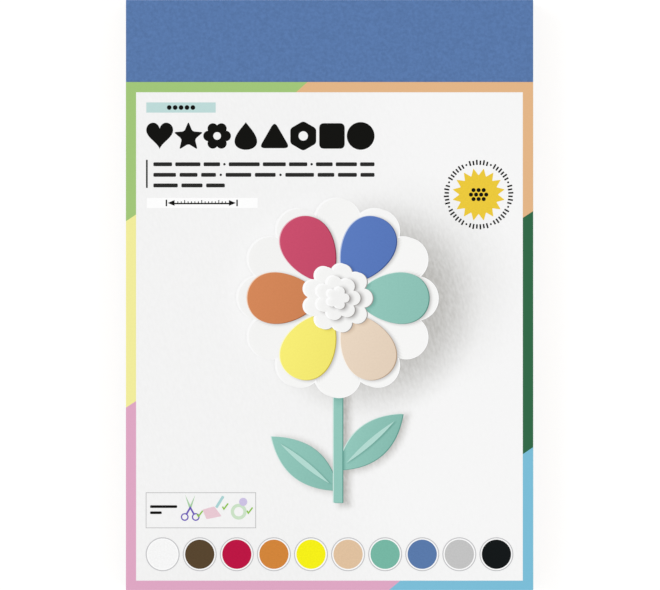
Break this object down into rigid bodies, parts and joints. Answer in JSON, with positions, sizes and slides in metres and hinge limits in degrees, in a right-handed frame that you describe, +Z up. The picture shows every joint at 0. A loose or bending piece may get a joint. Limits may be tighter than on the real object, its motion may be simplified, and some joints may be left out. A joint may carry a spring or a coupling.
{
  "type": "craft foam sheet pack",
  "caption": "Flat pack of EVA craft foam sheets in assorted colours, squarely stacked under a printed cover card that leaves a strip of the top sheet bare.",
  "frame": {"origin": "centre of the pack's footprint, on the surface that the pack lies on", "axes": "+X across the sheets, +Y along the sheets towards the strip that the card leaves bare, +Z up through the stack, out of the printed face"},
  "size_m": [0.2, 0.29, 0.0223],
  "materials": {
    "foam_grey": "matte",
    "foam_black": "matte",
    "foam_white": "matte",
    "foam_brown": "matte",
    "foam_crimson": "matte",
    "foam_orange": "matte",
    "foam_yellow": "matte",
    "foam_beige": "matte",
    "foam_teal": "matte",
    "foam_blue": "matte",
    "printed_card": "satin"
  },
  "bodies": {
    "root": {"foam_sheet_grey": "foam_grey", "foam_sheet_black": "foam_black", "foam_sheet_white": "foam_white", "foam_sheet_brown": "foam_brown", "foam_sheet_crimson": "foam_crimson", "foam_sheet_orange": "foam_orange", "foam_sheet_yellow": "foam_yellow", "foam_sheet_beige": "foam_beige", "foam_sheet_teal": "foam_teal", "foam_sheet_blue": "foam_blue", "cover_card": "printed_card"}
  },
  "joints": []
}
